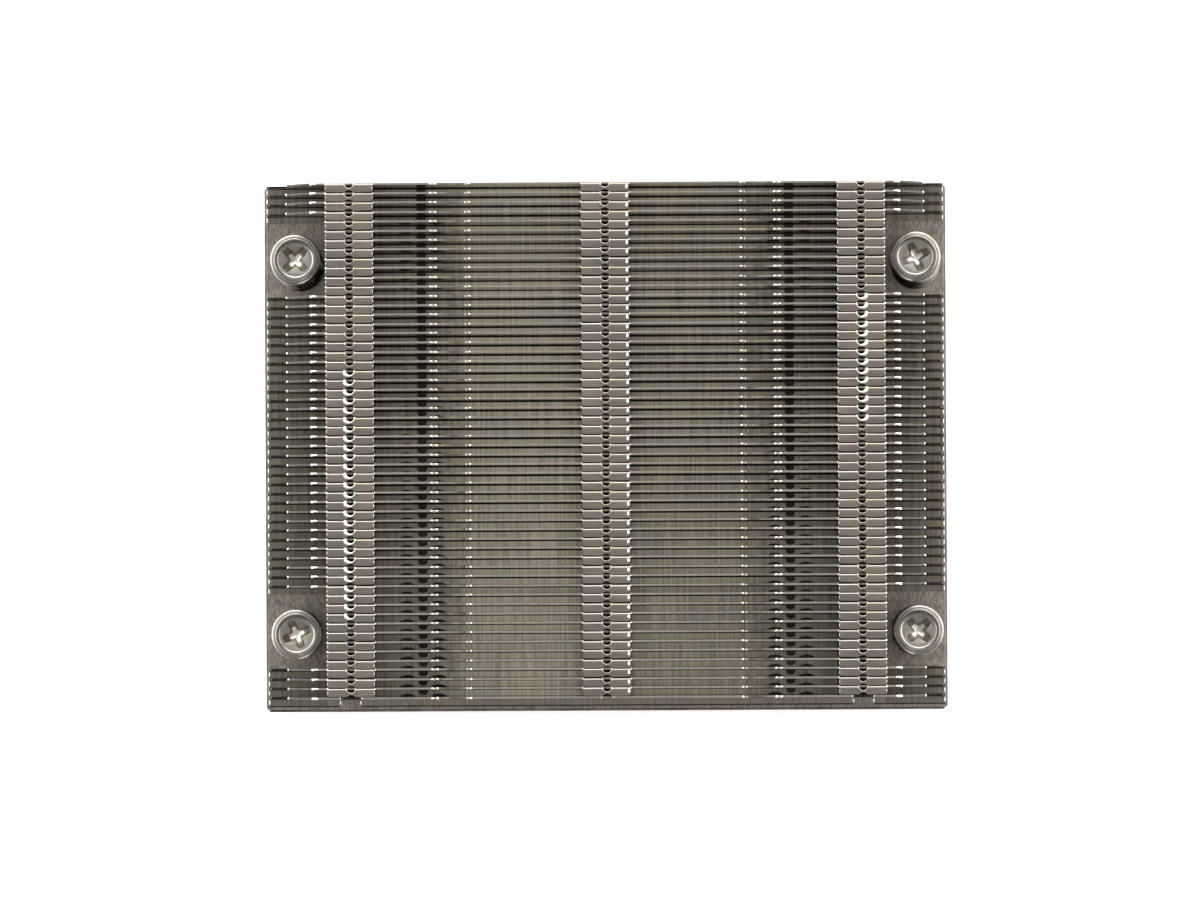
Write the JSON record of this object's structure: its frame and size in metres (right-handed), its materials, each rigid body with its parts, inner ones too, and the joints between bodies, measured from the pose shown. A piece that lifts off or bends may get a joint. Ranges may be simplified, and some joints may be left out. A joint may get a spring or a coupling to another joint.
{
  "type": "passive server cpu heatsink",
  "caption": "Low passive heatsink for a server processor: plated base plate, a stack of folded zipper fins and sprung captive corner screws.",
  "frame": {"origin": "centre of the contact face under the base plate", "axes": "+Z away from the processor, X along the fins, +Y across the fins towards the rear edge, opposite to the way the fins' flanges point"},
  "size_m": [0.1036, 0.08, 0.0295],
  "materials": {
    "plated_base": "brushed nickel plating on copper",
    "plated_fins": "satin nickel plating on aluminium sheet",
    "plated_screw": "bright nickel-plated steel",
    "spring_steel": "dark bright spring steel"
  },
  "bodies": {
    "heatsink": {"base_plate": "plated_base", "fin_01": "plated_fins", "fin_02": "plated_fins", "fin_03": "plated_fins", "fin_04": "plated_fins", "fin_13": "plated_fins", "fin_14": "plated_fins", "fin_15": "plated_fins", "fin_16": "plated_fins", "fin_17": "plated_fins", "fin_18": "plated_fins", "fin_19": "plated_fins", "fin_20": "plated_fins", "fin_21": "plated_fins", "fin_22": "plated_fins", "fin_23": "plated_fins", "fin_24": "plated_fins", "fin_25": "plated_fins", "fin_26": "plated_fins", "fin_27": "plated_fins", "fin_28": "plated_fins", "fin_29": "plated_fins", "fin_30": "plated_fins", "fin_31": "plated_fins", "fin_32": "plated_fins", "fin_33": "plated_fins", "fin_34": "plated_fins", "fin_35": "plated_fins", "fin_36": "plated_fins", "fin_37": "plated_fins", "fin_38": "plated_fins", "fin_39": "plated_fins", "fin_40": "plated_fins", "fin_41": "plated_fins", "fin_42": "plated_fins", "fin_43": "plated_fins", "fin_44": "plated_fins", "fin_53": "plated_fins", "fin_54": "plated_fins", "fin_55": "plated_fins", "fin_56": "plated_fins", "short_fins_rear": "plated_fins", "short_fins_front": "plated_fins", "spring_rear_left": "spring_steel", "spring_rear_right": "spring_steel", "spring_front_left": "spring_steel", "spring_front_right": "spring_steel"},
    "clip_rear_left": {"clip_rear_left": "plated_screw"},
    "screw_rear_left": {"screw_rear_left": "plated_screw"},
    "clip_rear_right": {"clip_rear_right": "plated_screw"},
    "screw_rear_right": {"screw_rear_right": "plated_screw"},
    "clip_front_left": {"clip_front_left": "plated_screw"},
    "screw_front_left": {"screw_front_left": "plated_screw"},
    "clip_front_right": {"clip_front_right": "plated_screw"},
    "screw_front_right": {"screw_front_right": "plated_screw"}
  },
  "joints": [
    {"name": "press_rear_left", "type": "slide", "parent": "heatsink", "child": "clip_rear_left", "axis": [0, 0, -1], "range_m": [0, 0.004], "stiffness_N_per_m": 900, "springref_m": -0.004, "deforming": ["spring_rear_left"]},
    {"name": "turn_rear_left", "type": "hinge", "parent": "clip_rear_left", "child": "screw_rear_left", "pos_m": [-0.047, 0.028, 0], "axis": [0, 0, 1], "continuous": true},
    {"name": "press_rear_right", "type": "slide", "parent": "heatsink", "child": "clip_rear_right", "axis": [0, 0, -1], "range_m": [0, 0.004], "stiffness_N_per_m": 900, "springref_m": -0.004, "deforming": ["spring_rear_right"]},
    {"name": "turn_rear_right", "type": "hinge", "parent": "clip_rear_right", "child": "screw_rear_right", "pos_m": [0.047, 0.028, 0], "axis": [0, 0, 1], "continuous": true},
    {"name": "press_front_left", "type": "slide", "parent": "heatsink", "child": "clip_front_left", "axis": [0, 0, -1], "range_m": [0, 0.004], "stiffness_N_per_m": 900, "springref_m": -0.004, "deforming": ["spring_front_left"]},
    {"name": "turn_front_left", "type": "hinge", "parent": "clip_front_left", "child": "screw_front_left", "pos_m": [-0.047, -0.028, 0], "axis": [0, 0, 1], "continuous": true},
    {"name": "press_front_right", "type": "slide", "parent": "heatsink", "child": "clip_front_right", "axis": [0, 0, -1], "range_m": [0, 0.004], "stiffness_N_per_m": 900, "springref_m": -0.004, "deforming": ["spring_front_right"]},
    {"name": "turn_front_right", "type": "hinge", "parent": "clip_front_right", "child": "screw_front_right", "pos_m": [0.047, -0.028, 0], "axis": [0, 0, 1], "continuous": true}
  ]
}
